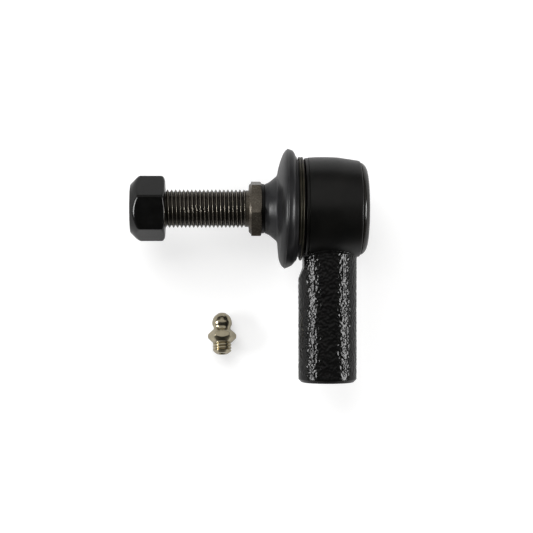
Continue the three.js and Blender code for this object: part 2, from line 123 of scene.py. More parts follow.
class Form:
    """Collects the surfaces of one piece, then makes one object of them."""

    def __init__(self):
        self.points = []
        self.faces = []
        self.slots = []
        self.count = 0

    def grid(self, rows, slot=0, close_rows=False, seam_shift=0):
        """Joins rows of points into faces. Each row closes on itself, seam_shift rows further on."""
        n, m = rows.shape[:2]
        self.points.append(rows.reshape(-1, 3))
        last = n if close_rows else n - 1
        for i in range(last):
            for j in range(m):
                k, shift = (j + 1, 0) if j + 1 < m else (0, seam_shift)
                corners = [(i, j), (i + shift, k), (i + 1 + shift, k), (i + 1, j)]
                if max(row for row, _ in corners) >= n and not close_rows:
                    continue
                self.faces.append([self.count + (row % n) * m + column for row, column in corners])
                self.slots.append(slot)
        self.count += n * m

    def build(self, name, materials, place=None, sharp=38):
        """Welds the surfaces into one object. Edges that turn more than sharp degrees stay crisp."""
        mesh = bpy.data.meshes.new(name)
        points = np.concatenate(self.points) * MM
        mesh.from_pydata([tuple(p) for p in points], [], self.faces)
        for material in materials:
            mesh.materials.append(material)
        mesh.polygons.foreach_set("material_index", self.slots)
        mesh.transform(place if place else Matrix.Translation(BALL))
        made = bmesh.new()
        made.from_mesh(mesh)
        bmesh.ops.remove_doubles(made, verts=made.verts, dist=2e-6)
        bmesh.ops.dissolve_degenerate(made, edges=made.edges, dist=1e-7)
        bmesh.ops.recalc_face_normals(made, faces=made.faces)
        for face in made.faces:
            face.smooth = True
        for edge in made.edges:
            if len(edge.link_faces) == 2 and edge.calc_face_angle(0) > math.radians(sharp):
                edge.smooth = False
        made.to_mesh(mesh)
        made.free()
        piece = bpy.data.objects.new(name, mesh)
        bpy.context.scene.collection.objects.link(piece)
        return piece


def arc(centre, radius, start, end, steps=16):
    """Points on a circle in (place, radius) space, angles in degrees."""
    angles = np.radians(np.linspace(start, end, steps))
    return [(centre[0] + radius * math.cos(a), centre[1] + radius * math.sin(a)) for a in angles]


def rounded(corners, closed=False, steps=5):
    """A profile with its corners rounded. A corner is (place, radius) or (place, radius, rounding)."""
    out = []
    count = len(corners)
    for i, corner in enumerate(corners):
        here = np.array(corner[:2], float)
        size = corner[2] if len(corner) > 2 else 0.0
        ends = i in (0, count - 1) and not closed
        if ends or size == 0.0:
            out.append(tuple(here))
            continue
        before = np.array(corners[i - 1][:2], float) - here
        after = np.array(corners[(i + 1) % count][:2], float) - here
        size = min(size, 0.48 * np.linalg.norm(before), 0.48 * np.linalg.norm(after))
        a = here + before / np.linalg.norm(before) * size
        b = here + after / np.linalg.norm(after) * size
        for t in np.linspace(0, 1, steps + 1):
            out.append(tuple((1 - t) ** 2 * a + 2 * t * (1 - t) * here + t * t * b))
    return out


def flowing(points, steps=8):
    """A smooth curve through the points: a Catmull-Rom spline."""
    p = [np.array(q, float) for q in points]
    p = [2 * p[0] - p[1]] + p + [2 * p[-1] - p[-2]]
    out = []
    for i in range(1, len(p) - 2):
        for t in np.linspace(0, 1, steps, endpoint=False):
            a, b, c, d = p[i - 1:i + 3]
            out.append(tuple(0.5 * (2 * b + (c - a) * t + (2 * a - 5 * b + 4 * c - d) * t * t
                                    + (3 * b - a - 3 * c + d) * t ** 3)))
    out.append(tuple(p[-2]))
    return out


def finer(profile, step):
    """The same profile with no stretch longer than step."""
    out = [profile[0]]
    for a, b in zip(profile, profile[1:]):
        parts = max(1, math.ceil(math.dist(a, b) / step))
        for k in range(1, parts + 1):
            out.append((a[0] + (b[0] - a[0]) * k / parts, a[1] + (b[1] - a[1]) * k / parts))
    return out


def turned(profile, segments=ROUND, along="x"):
    """Rows of points of a profile of (place, radius) pairs turned about X or Y."""
    shape = np.array(profile, float)
    angle = np.linspace(0, 2 * math.pi, segments, endpoint=False)
    place = shape[:, :1] * np.ones_like(angle)
    side, up = shape[:, 1:] * np.sin(angle), shape[:, 1:] * np.cos(angle)
    return np.stack([place, side, up] if along == "x" else [side, place, up], axis=-1)


def soft_min(a, b, width):
    """The smaller of a and b, with the change from one to the other rounded over width."""
    share = np.clip(0.5 + 0.5 * (b - a) / width, 0, 1)
    return b * (1 - share) + a * share - width * share * (1 - share)


def hex_rows(profile, flats, corner_deg, edge=0.25, blend=0.2):
    """A hex bar with its ends turned to a profile. Its corners are rounded by edge, and its end cones
    melt into its flats over blend."""
    per_side = 40
    beyond = 1e3  # farther than any flat
    least_facing = 0.3  # a side that faces away more than this has no say
    middles = [math.radians(corner_deg + 30 + 60 * side) for side in range(6)]
    share = np.sin(np.linspace(-1, 1, per_side, endpoint=False) * math.pi / 2)
    angle = np.concatenate([middle + share * math.pi / 6 for middle in middles])
    reach = np.full_like(angle, beyond)
    for middle in middles:
        facing = np.cos(angle - middle)
        flat = np.where(facing > least_facing, flats / 2 / np.maximum(facing, least_facing), beyond)
        reach = soft_min(reach, flat, edge)
    shape = np.array(profile, float)
    radius = soft_min(shape[:, 1:], reach[None, :], blend)
    place = shape[:, :1] * np.ones_like(angle)
    return np.stack([place, radius * np.sin(angle), radius * np.cos(angle)], axis=-1)


def thread_rows(start, end, crest, root, pitch, limit, along="x", segments=96, valley=0.22, flank=0.64):
    """A right-hand thread whose rows of points follow the helix, so that its crests are crisp lines.
    limit(place, radius) trims the radius, for chamfers and run-outs. valley and flank are shares of half
    a pitch. Returns the rows and the seam's shift."""
    per_turn = 16
    softness = 0.35  # how far the flanks are from straight
    turns = math.ceil((end - start) / pitch)
    step = np.arange(-per_turn, (turns + 1) * per_turn + 1)
    angle = np.arange(segments)
    place = start + (step[:, None] / per_turn + angle[None, :] / segments) * pitch
    place = np.clip(place, start, end)
    off_root = np.abs((step / per_turn) % 1 - 0.5) * 2
    height = np.clip((off_root - valley) / flank, 0, 1)
    height = height * height * (3 - 2 * height) * softness + height * (1 - softness)
    radius = limit(place, (root + (crest - root) * height)[:, None] * np.ones_like(place))
    turn = -2 * math.pi * angle / segments
    side, up = radius * np.sin(turn), radius * np.cos(turn)
    if along == "y":
        side = -side
    rows = np.stack([place, side, up] if along == "x" else [side, place, up], axis=-1)
    return rows, per_turn


def coil_rows(radius, wire, start, pitch, turns, start_deg, along_steps=96, sides=16):
    """A wire wound about X, with rounded ends."""
    round_end = 0.9 * wire
    t = np.linspace(0, 1, int(along_steps * turns) + 1)
    angle = math.radians(start_deg) + 2 * math.pi * turns * t
    centre = np.stack([start + pitch * turns * t, radius * np.sin(angle), radius * np.cos(angle)], axis=-1)
    outward = np.stack([0 * t, np.sin(angle), np.cos(angle)], axis=-1)
    forward = np.gradient(centre, axis=0)
    forward /= np.linalg.norm(forward, axis=1)[:, None]
    side = np.cross(forward, outward)
    length = 2 * math.pi * radius * turns
    from_end = np.minimum(t, 1 - t) * length
    thick = wire * np.sqrt(1 - (1 - np.clip(from_end / round_end, 0, 1)) ** 2)
    around = np.linspace(0, 2 * math.pi, sides, endpoint=False)
    return (centre[:, None] + thick[:, None, None] * (outward[:, None] * np.cos(around)[None, :, None]
                                                      + side[:, None] * np.sin(around)[None, :, None]))


# ---------- materials ----------

def nodes_of(name):
    """A new material, its node tree and its shader."""
    material = bpy.data.materials.new(name)
    material.use_nodes = True
    tree = material.node_tree
    return material, tree, tree.nodes["Principled BSDF"]


def add(tree, kind, **values):
    """A new node, with values set on its sockets or, for names that aren't sockets, on itself."""
    node = tree.nodes.new(kind)
    for key, value in values.items():
        if key in node.inputs:
            node.inputs[key].default_value = value
        else:
            setattr(node, key, value)
    return node


def grain(tree, scale, detail=3.0, stretch=(1, 1, 1)):
    """Noise of a real size: scale is features per metre, in object space."""
    where = add(tree, "ShaderNodeTexCoord")
    mapping = add(tree, "ShaderNodeMapping")
    mapping.inputs["Scale"].default_value = stretch
    tree.links.new(where.outputs["Object"], mapping.inputs["Vector"])
    texture = add(tree, "ShaderNodeTexNoise", Scale=scale, Detail=detail, Roughness=0.55)
    tree.links.new(mapping.outputs["Vector"], texture.inputs["Vector"])
    return texture.outputs["Fac"]


def ramp(tree, value, low, high, dark, light):
    """Value mapped from low..high to dark..light, and held at the ends."""
    node = add(tree, "ShaderNodeMapRange")
    node.inputs["From Min"].default_value = low
    node.inputs["From Max"].default_value = high
    node.inputs["To Min"].default_value = dark
    node.inputs["To Max"].default_value = light
    tree.links.new(value, node.inputs["Value"])
    return node.outputs["Result"]


def colour_between(tree, share, first, second):
    """A mix from first, a colour or a socket, to the colour second."""
    node = add(tree, "ShaderNodeMix", data_type="RGBA")
    factor, start, end = node.inputs[0], node.inputs[6], node.inputs[7]
    if isinstance(first, tuple):
        start.default_value = (*first, 1)
    else:
        tree.links.new(first, start)
    end.default_value = (*second, 1)
    tree.links.new(share, factor)
    return node.outputs[2]


def bump(tree, height, distance_mm):
    node = add(tree, "ShaderNodeBump", Strength=1.0, Distance=distance_mm * MM)
    tree.links.new(height, node.inputs["Height"])
    return node.outputs["Normal"]


def surface(name, first, second, rough, metallic=0.0, specular=0.5, colour_scale=300.0, fine_scale=2500.0,
            fine_depth=0.004, stretch=(1, 1, 1), edges=0.0, edge_colour=(0.3, 0.28, 0.25), edge_from=0.53,
            edge_to=0.62):
    """A material whose colour wanders between two tones, with grain in its gloss and height, and edges
    lightened by their sharpness: wear, and on the thread's crests also a painted highlight. Scales are in
    features per metre and fine_depth is in millimetres."""
    material, tree, shader = nodes_of(name)
    shader.inputs["Metallic"].default_value = metallic
    shader.inputs["Specular IOR Level"].default_value = specular
    patch = grain(tree, colour_scale, 4.0)
    tone = colour_between(tree, ramp(tree, patch, 0.35, 0.65, 0, 1), first, second)
    if edges:
        shape = add(tree, "ShaderNodeNewGeometry")
        # Sharp edges take edge_colour: wear, and on the thread's crests a painted highlight.
        edge_wear_and_sheen = ramp(tree, shape.outputs["Pointiness"], edge_from, edge_to, 0, edges)
        tone = colour_between(tree, edge_wear_and_sheen, tone, edge_colour)
    tree.links.new(tone, shader.inputs["Base Color"])
    fine = grain(tree, fine_scale, stretch=stretch)
    tree.links.new(ramp(tree, fine, 0.3, 0.7, rough * 0.85, rough * 1.15), shader.inputs["Roughness"])
    tree.links.new(bump(tree, fine, fine_depth), shader.inputs["Normal"])
    return material


def make_materials():
    return {
        "barrel": surface(
            "turned_black_coating", (0.0016, 0.0016, 0.0014), (0.0034, 0.0032, 0.0028), 0.33, specular=0.31,
            colour_scale=160, fine_scale=900, fine_depth=0.002, stretch=(6, 1, 1)),
        "shank": surface(
            "forged_black_coating", (0.0024, 0.0024, 0.0024), (0.0044, 0.0043, 0.0041), 0.17, specular=0.22,
            colour_scale=500, fine_scale=1300, fine_depth=0.011),
        "thread_wall": surface(
            "bare_thread_wall", (0.12, 0.115, 0.1), (0.2, 0.19, 0.17), 0.35, metallic=1.0),
        "rolled": surface(
            "rolled_edge_coating", (0.006, 0.0056, 0.0046), (0.011, 0.0102, 0.0085), 0.2, specular=0.35,
            colour_scale=260, fine_scale=1500, fine_depth=0.002),
        "cover": surface(
            "cover_plate_coating", (0.006, 0.006, 0.0062), (0.01, 0.01, 0.0102), 0.32, fine_scale=1800,
            fine_depth=0.004, edges=0.2),
        "stud": surface(
            "oiled_dark_steel", (0.062, 0.053, 0.041), (0.11, 0.096, 0.076), 0.26, metallic=0.6,
            fine_scale=1600, fine_depth=0.003, stretch=(1, 4, 4), edges=0.3, edge_colour=(0.4, 0.36, 0.3)),
        # The thread's dark tone and its crests lightened by sharpness are partly oil and wear, and partly
        # painted shade in the roots and a painted highlight on the crests.
        "stud_thread": surface(
            "thread_oil_wear_and_painted_light", (0.028, 0.025, 0.02), (0.05, 0.045, 0.037), 0.18, metallic=0.75,
            fine_scale=1600, fine_depth=0.002, edges=1.0, edge_colour=(0.5, 0.46, 0.39), edge_from=0.52,
            edge_to=0.585),
        # Near-black steel for the collar's step beside the boot: painted shade, standing in for the boot's
        # shadow there.
        "collar_step_painted_shade": surface(
            "steel_painted_shade", (0.003, 0.003, 0.0028), (0.005, 0.005, 0.0045), 0.35, specular=0.2),
        "nut": surface(
            "black_oxide", (0.0022, 0.0022, 0.0021), (0.004, 0.004, 0.0039), 0.17, specular=0.29,
            fine_scale=1500, fine_depth=0.002, edges=0.03),
        "rubber": surface(
            "boot_rubber", (0.0085, 0.0085, 0.0092), (0.0125, 0.0125, 0.0135), 0.33, specular=0.3,
            colour_scale=220, fine_scale=2600, fine_depth=0.004),
        "ring": surface(
            "oiled_spring_wire", (0.022, 0.02, 0.013), (0.04, 0.036, 0.024), 0.34, metallic=0.6,
            specular=0.4, fine_scale=2500, fine_depth=0.003),
        "seat": surface(
            "bearing_acetal", (0.62, 0.59, 0.5), (0.7, 0.67, 0.58), 0.45, fine_scale=2000),
        "spring": surface(
            "spring_wire", (0.3, 0.3, 0.31), (0.42, 0.42, 0.43), 0.28, metallic=1.0),
        "nickel": surface(
            "bright_nickel", (0.47, 0.42, 0.3), (0.61, 0.545, 0.4), 0.2, metallic=1.0,
            colour_scale=700, fine_scale=1800, fine_depth=0.003),
        "ball": surface(
            "bearing_ball_steel", (0.6, 0.6, 0.61), (0.66, 0.66, 0.67), 0.08, metallic=1.0,
            fine_depth=0.0005),
        "polished": surface(
            "polished_ball", (0.42, 0.41, 0.4), (0.5, 0.49, 0.48), 0.12, metallic=1.0, fine_depth=0.0008),
    }


# ---------- pieces ----------

def finish(piece, body, slot, *nodes):
    """Puts the piece on its body, in place of the CAD nodes it stands for."""
    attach(piece, body)
    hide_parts(*nodes)


def barrel_profile():
    """The outside of the socket's eye, from the nose to the rolled edge."""
    return finer(rounded([
        (NOSE_FRONT, 11.6),
        (NOSE_FRONT, NOSE_RADIUS - 0.1, 0.3),
        (NOSE_FRONT + 0.3, NOSE_RADIUS, 0.1),
        (BARREL_FRONT, NOSE_RADIUS, 0.15),
        (BARREL_FRONT, 15.55, 0.35),
        (BARREL_FRONT + 0.35, 15.85, 0.3),
        (-6.45, 15.87, 0.08),
        (-6.4, 15.68, 0.04),
        (-6.28, 15.68, 0.04),
        (-6.2, 15.98, 0.12),
    ]) + flowing([
        (-5.6, 16.03), (-3.5, 16.12), (-1.0, BARREL_RADIUS), (1.5, 16.1), (3.5, 15.96), (5.5, 15.66),
        (7.5, 15.36), (9.2, 15.1),
    ]) + rounded([
        (9.45, 15.05), (9.85, 14.96, 0.3), (10.1, 14.5, 0.12), (10.12, 14.28, 0.05), (10.2, 14.24, 0.05),
        (10.3, 14.42, 0.1), (10.75, 14.25, 0.3),
    ]) + flowing([
        (11.1, 13.98), (11.6, 13.42), (11.98, 12.7), (12.19, 11.9), (BARREL_BACK, 11.2),
    ]) + rounded([
        (BARREL_BACK, 10.3), (12.15, 9.75, 0.2), (COVER_SEAT_AT, 9.6), (COVER_SEAT_AT, SOCKET_BORE_RADIUS),
    ]), 0.6)


def bore_profile():
    """The inside of the eye, from the cover plate's seat to the open front."""
    return finer(rounded([
        (COVER_SEAT_AT, SOCKET_BORE_RADIUS), (THROAT_AT, SOCKET_BORE_RADIUS), (THROAT_AT, 9.4, 0.2),
        (THROAT_AT - 0.4, 9.4, 0.2), (NOSE_FRONT, 11.6),
    ]), 1.0)


def barrel_radius_at(place):
    """Radius of the barrel's side, for where the shank meets it."""
    return np.interp(place, [-7.4, -6.2, -3.5, -1.0, 1.5, 3.5, 5.5, 7.5, 9.2],
                     [15.6, 15.98, 16.12, 16.15, 16.1, 15.96, 15.66, 15.36, 15.1])


def hammered(point):
    """Height in mm of the forged skin's dimples and creases."""
    broad_height, fine_height = 0.04, 0.115
    p = Vector(point)
    broad = noise.noise(p * 0.8 + Vector((5, 9, 2)))
    fine = noise.noise(Vector((p.x * 1.5, p.y * 1.35, p.z * 1.5)) + Vector((7, 3, 1)))
    return broad_height * broad + fine_height * fine


def shank_rows():
    """The shank's skin from its mouth up to the barrel, flaring into it and cut back behind the boot."""
    around = np.linspace(0, 2 * math.pi, SHANK_AROUND, endpoint=False)
    flare = 0.7
    buried = 0.25  # how far the skin reaches into the barrel
    lowered = 0.02  # the relief's middle lies this far under its noise's zero
    fade_rows = 8  # rows over which the relief comes in from the mouth
    cut_radii = [10.0, 19.0, 19.4, 22.0, 22.6]  # from the stud's axis
    cut_places = [-7.6, -7.6, -7.75, -9.2, -9.8]
    top = -np.sqrt(np.maximum(barrel_radius_at(SHANK_RADIUS * np.sin(around)) ** 2
                              - (SHANK_RADIUS * np.cos(around)) ** 2, 1.0)) + buried
    low = -SHANK_REACH + SHANK_MOUTH_EDGE
    rows = []
    for share in np.linspace(0, 1, SHANK_ALONG):
        y = low + (top - low) * share
        below = np.clip(top - buried - y, 0, flare)
        extra = flare - np.sqrt(np.maximum(flare ** 2 - (flare - below) ** 2, 0))
        radius = SHANK_RADIUS + extra / 2
        rows.append(np.stack([radius * np.sin(around), y, radius * np.cos(around)], axis=-1))
    rows = np.array(rows)
    for i in range(rows.shape[0]):
        fade = min(1.0, i / fade_rows)
        for j in range(rows.shape[1]):
            x, y, z = rows[i, j]
            push = (hammered((x, y, z)) - lowered) * fade
            size = math.hypot(x, z)
            x, z = x * (1 + push / size), z * (1 + push / size)
            from_axis = math.hypot(y, z)
            cut = np.interp(from_axis, cut_radii, cut_places)
            rows[i, j] = (max(x, cut), y, z)
    return rows


def shank_mouth_profile():
    mouth = -SHANK_REACH
    return finer(rounded([
        (mouth + SHANK_MOUTH_EDGE, SHANK_RADIUS), (mouth + 1.0, SHANK_RADIUS, 0.2),
        (mouth, SHANK_RADIUS - 0.95, 0.2), (mouth, 6.4, 0.12), (mouth + 0.55, 5.95, 0.1),
        (mouth + THREAD_INSET, M12_BORE_END),
    ], steps=4), 0.6)


def make_housing(paint):
    form = Form()
    coated, forged, rolled, bare = range(4)  # material slots
    barrel = barrel_profile()
    rolled_from = next(i for i, point in enumerate(barrel) if point[0] > ROLLED_EDGE_AT)
    form.grid(turned(barrel[:rolled_from + 1]), coated)
    form.grid(turned(barrel[rolled_from:]), rolled)
    form.grid(turned(bore_profile(), 96), coated)
    form.grid(shank_rows(), forged)
    form.grid(turned(shank_mouth_profile(), 300, "y"), forged)
    start, end = -SHANK_REACH + THREAD_INSET, SHANK_BORE_BOTTOM
    entry_radius, entry_depth = M12_CREST + 0.05, 0.6

    def trim(place, radius):
        entry = entry_radius - np.clip(place - start, 0, entry_depth)
        radius = np.where(place < start + entry_depth, np.maximum(radius, entry), radius)
        return np.where((place <= start) | (place >= end), M12_BORE_END, radius)

    rows, shift = thread_rows(start, end, M12_BORE_INNER, M12_CREST + 0.05, M12_PITCH, trim, "y")
    form.grid(rows, bare, seam_shift=shift)
    drill_point = [(end, M12_BORE_END), (end + 0.3, 5.3), (end + 2.6, 0.0)]
    form.grid(turned(drill_point, 96, "y"), bare)
    paints = [paint["barrel"], paint["shank"], paint["rolled"], paint["thread_wall"]]
    piece = form.build("socket_housing_fine", paints)
    finish(piece, "socket", "housing_paint", "socket_housing")


def make_cover(paint):
    form = Form()
    coated, bare = range(2)  # material slots
    back, front = COVER_SEAT_AT - 0.3, COVER_SEAT_AT - 1.7
    boss = back + 1.3
    thread_from, thread_to = front + 0.4, boss - 0.4
    radius_from, radius_to = 2.6, 2.7
    profile = finer(rounded([
        (thread_from, radius_from), (front, 3.0, 0.1), (front, 11.1, 0.15), (back, 11.15, 0.15),
        (back, 6.4, 0.5), (boss - 0.3, 5.4, 0.5), (boss, 4.9, 0.3), (boss, 3.1, 0.12), (thread_to, radius_to),
    ]), 0.6)
    form.grid(turned(profile, 128), coated)

    def trim(place, radius):
        radius = np.where(place <= thread_from, radius_from, radius)
        return np.where(place >= thread_to, radius_to, radius)

    rows, shift = thread_rows(thread_from, thread_to, PORT_INNER, PORT_OUTER, M6_PITCH, trim, segments=64)
    form.grid(rows, bare, seam_shift=shift)
    piece = form.build("cover_plate_fine", [paint["cover"], paint["thread_wall"]])
    finish(piece, "socket", "cover_paint", "cover_plate")


def make_ring(paint):
    form = Form()
    form.grid(coil_rows(radius=15.85, wire=0.36, start=-9.22, pitch=0.78, turns=1.6, start_deg=-46,
                        along_steps=192))
    piece = form.build("boot_retaining_ring_fine", [paint["ring"]])
    finish(piece, "socket", "ring_steel", "boot_retaining_ring")


def boot_profile():
    """The boot's section, closed: up the cone to the pointed rim, down to the bead, and back inside."""
    cone = flowing([
        (-19.74, 7.3), (-19.7, 7.55), (-19.3, 7.8), (-18.5, 8.16), (-18.0, 8.5), (-17.3, 9.05),
        (-16.7, 9.55), (-16.15, 10.02), (-15.82, 10.6), (-15.6, 11.5), (-15.42, 12.8), (-15.15, 14.3),
        (-14.8, 15.9), (-14.35, 17.1), (-13.8, 18.0), (-13.25, 18.5),
    ], 6)
    ridge = [(-13.12, 18.56), (-13.05, 18.73), (-12.95, 18.75), (-12.84, 18.66)]
    flank = flowing([
        (-12.7, 18.6), (-12.2, 18.45), (-11.6, 18.2), (-11.0, 17.78), (-10.58, 17.2), (-10.3, 16.75),
        (-10.05, 16.42), (-9.85, 16.2), (-9.74, 15.9), (-9.71, 15.5),
    ], 6)
    bead = rounded([
        (-9.7, 15.25), (-9.65, 15.1, 0.1), (-7.85, 15.1, 0.2), (-7.7, 14.9, 0.1), (-7.7, 13.9, 0.2),
        (-7.9, 13.8),
    ])
    inside = flowing([
        (-10.6, 13.8), (-11.1, 14.3), (-11.5, 15.6), (-12.2, 16.9), (-12.95, 17.4), (-13.55, 16.4),
        (-14.0, 14.4), (-14.3, 12.2), (-14.6, 10.6), (-15.4, 9.2), (-16.4, 7.9), (-17.5, 6.8),
        (-18.1, 6.15), (-18.75, 6.0), (-19.45, 6.1), (-19.72, 6.4),
    ], 4)
    return cone + ridge + flank + bead + inside


def make_boot(paint):
    form = Form()
    rows = turned(boot_profile())
    from_axis = np.hypot(rows[..., 1], rows[..., 2])
    free_of_cone = np.clip((from_axis - 12.0) / 4.0, 0, 1)
    free_of_bead = np.clip((-10.0 - rows[..., 0]) / 1.5, 0, 1)
    rows[..., 0] += BOOT_LEAN * rows[..., 1] * free_of_cone * free_of_bead
    form.grid(rows, close_rows=True)
    piece = form.build("dust_boot_fine", [paint["rubber"]])
    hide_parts("dust_boot")
    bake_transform(piece)


def make_stud(paint):
    form = Form()
    steel, polished, threaded, collar_step_painted_shade = range(4)  # material slots
    thread_from, thread_to = STUD_TIP + TIP_CHAMFER, SHOULDER_FROM + 0.6
    run_out_from, run_out_length = thread_to - 0.5, 0.4

    tip = rounded([(STUD_TIP, 0), (STUD_TIP, 4.9, 0.2), (thread_from, TIP_RADIUS)])
    form.grid(turned(finer(tip, 0.8), 96), steel)

    def trim(place, radius):
        chamfer = TIP_RADIUS + np.clip(place - thread_from, 0, None)
        run_out = np.clip((place - run_out_from) / run_out_length, 0, 1)
        radius = radius * (1 - run_out) + SHOULDER_RADIUS * run_out
        return np.minimum(radius, chamfer)

    rows, shift = thread_rows(thread_from, thread_to, M12_CREST - 0.05, M12_ROOT, M12_PITCH, trim)
    form.grid(rows, threaded, seam_shift=shift)

    shoulder = rounded([
        (thread_to, SHOULDER_RADIUS), (COLLAR_FROM + 0.3, SHOULDER_RADIUS, 0.15),
        (COLLAR_FROM + 0.3, 6.2, 0.15), (COLLAR_FROM, 6.3, 0.05), (COLLAR_FROM, 6.6),
    ])
    form.grid(turned(shoulder, 96), steel)
    collar = finer(rounded([
        (COLLAR_FROM, 6.6), (COLLAR_FROM, 7.4, 0.1), (COLLAR_FROM + 0.65, 7.92, 0.05),
        (COLLAR_FROM + 0.8, 9.5), (COLLAR_HEX_TO - 0.55, 9.5), (COLLAR_HEX_TO - 0.1, 8.5, 0.1),
        (COLLAR_HEX_TO, 7.8),
    ]), 0.1)
    form.grid(hex_rows(collar, COLLAR_FLATS, COLLAR_CORNER, edge=0.3, blend=0.22), steel)
    # The step after the hex, next to the boot, is coloured near-black: painted shade.
    step = rounded([
        (COLLAR_HEX_TO - 0.04, 7.86), (COLLAR_HEX_TO, 7.8), (COLLAR_TO - 0.05, 7.66, 0.05),
        (COLLAR_TO, 7.5, 0.05), (COLLAR_TO, 6.6),
    ])
    form.grid(turned(finer(step, 0.4)), collar_step_painted_shade)

    neck = rounded([
        (COLLAR_TO, 6.6), (COLLAR_TO, 5.7, 0.2), (-14, 5.7, 1.5), (-11, NECK_RADIUS, 1.5),
        (-7.2, NECK_RADIUS, 0.4), (NECK_END, NECK_END_RADIUS),
    ])
    form.grid(turned(finer(neck, 0.8), 96), steel)
    neck_meets_ball = math.degrees(math.asin(NECK_RADIUS / BALL_RADIUS))
    ball = arc((0, 0), BALL_RADIUS, 180 - neck_meets_ball, 0, 60)
    form.grid(turned([(NECK_END, NECK_END_RADIUS)] + ball, 96), polished)

    paints = [paint["stud"], paint["polished"], paint["stud_thread"], paint["collar_step_painted_shade"]]
    piece = form.build("ball_stud_fine", paints, sharp=75)
    finish(piece, "stud", "stud_steel", "ball_stud")


def make_nut(paint):
    form = Form()
    outside = finer(rounded([
        (NUT_FROM, 6.7), (NUT_FROM, 7.45, 0.2), (-58.3, 10.75), (-51.9, 10.75), (-51.3, 10.3, 0.4),
        (NUT_TO, 9.0, 0.3), (NUT_TO, 6.8),
    ]), 0.12)
    form.grid(hex_rows(outside, NUT_FLATS, NUT_CORNER, edge=0.35, blend=0.8))
    bore = rounded([
        (NUT_TO, 6.8), (NUT_TO - 0.55, 6.15, 0.1), (NUT_FROM + 0.5, 6.15, 0.1), (NUT_FROM, 6.7),
    ])
    form.grid(turned(finer(bore, 1.0), 240))
    piece = form.build("stud_nut_fine", [paint["nut"]], sharp=50)
    finish(piece, "nut", "nut_black", "stud_nut")


def make_seats(paint):
    inner = BALL_RADIUS + 0.1  # clear of the ball
    front = THROAT_AT + 0.3  # clear of the throat
    form = Form()
    form.grid(turned(rounded([
        (front, 9.1, 0.2), (front, 11.4, 0.2), (-0.2, 11.4, 0.2), (-0.2, 8.7, 0.1),
    ], closed=True) + arc((0, 0), inner, 91.5, 112.6, 16), 128), close_rows=True)
    upper = form.build("upper_bearing_seat_fine", [paint["seat"]])
    finish(upper, "swivel_ring", "seat_polymer", "upper_bearing_seat")
    form = Form()
    form.grid(turned(rounded([
        (0.2, 8.7, 0.1), (0.2, 11.4, 0.2), (5.4, 11.4, 0.2), (5.4, 7.8, 0.2), (9.3, 7.2, 0.4),
        (9.3, 1.2, 0.1),
    ], closed=True) + arc((0, 0), inner, 8.2, 88.5, 30), 128), close_rows=True)
    lower = form.build("lower_bearing_seat_fine", [paint["seat"]])
    finish(lower, "lower_seat", "seat_polymer", "lower_bearing_seat")


def make_preload_spring(paint):
    form = Form()
    form.grid(coil_rows(radius=9.6, wire=0.5, start=6.2, pitch=1.3, turns=2.0, start_deg=0))
    piece = form.build("preload_spring_fine", [paint["spring"]])
    finish(piece, "socket", "spring_steel", "preload_spring")
    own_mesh(piece)


def fitting_place():
    """Where the loose fitting lies: its X runs from the head's tip to the thread end, which is raised."""
    lo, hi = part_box("grease_fitting_body")
    along = Vector((0, -math.cos(FITTING_TILT), math.sin(FITTING_TILT)))
    up = Vector((0, math.sin(FITTING_TILT), math.cos(FITTING_TILT)))
    middle_x = (lo.x + hi.x) / 2
    hex_middle = (HEX_FROM + HEX_TO) / 2
    head_low = FITTING_HEAD_REST[0] * along.z - FITTING_HEAD_REST[1] * up.z
    origin = Vector((middle_x, BALL.y + (FITTING_HEX_Y - hex_middle * along.y) * MM, FLOOR - head_low * MM))
    turn = Matrix((along, (1, 0, 0), up)).transposed().to_4x4()
    return Matrix.Translation(origin) @ turn, along


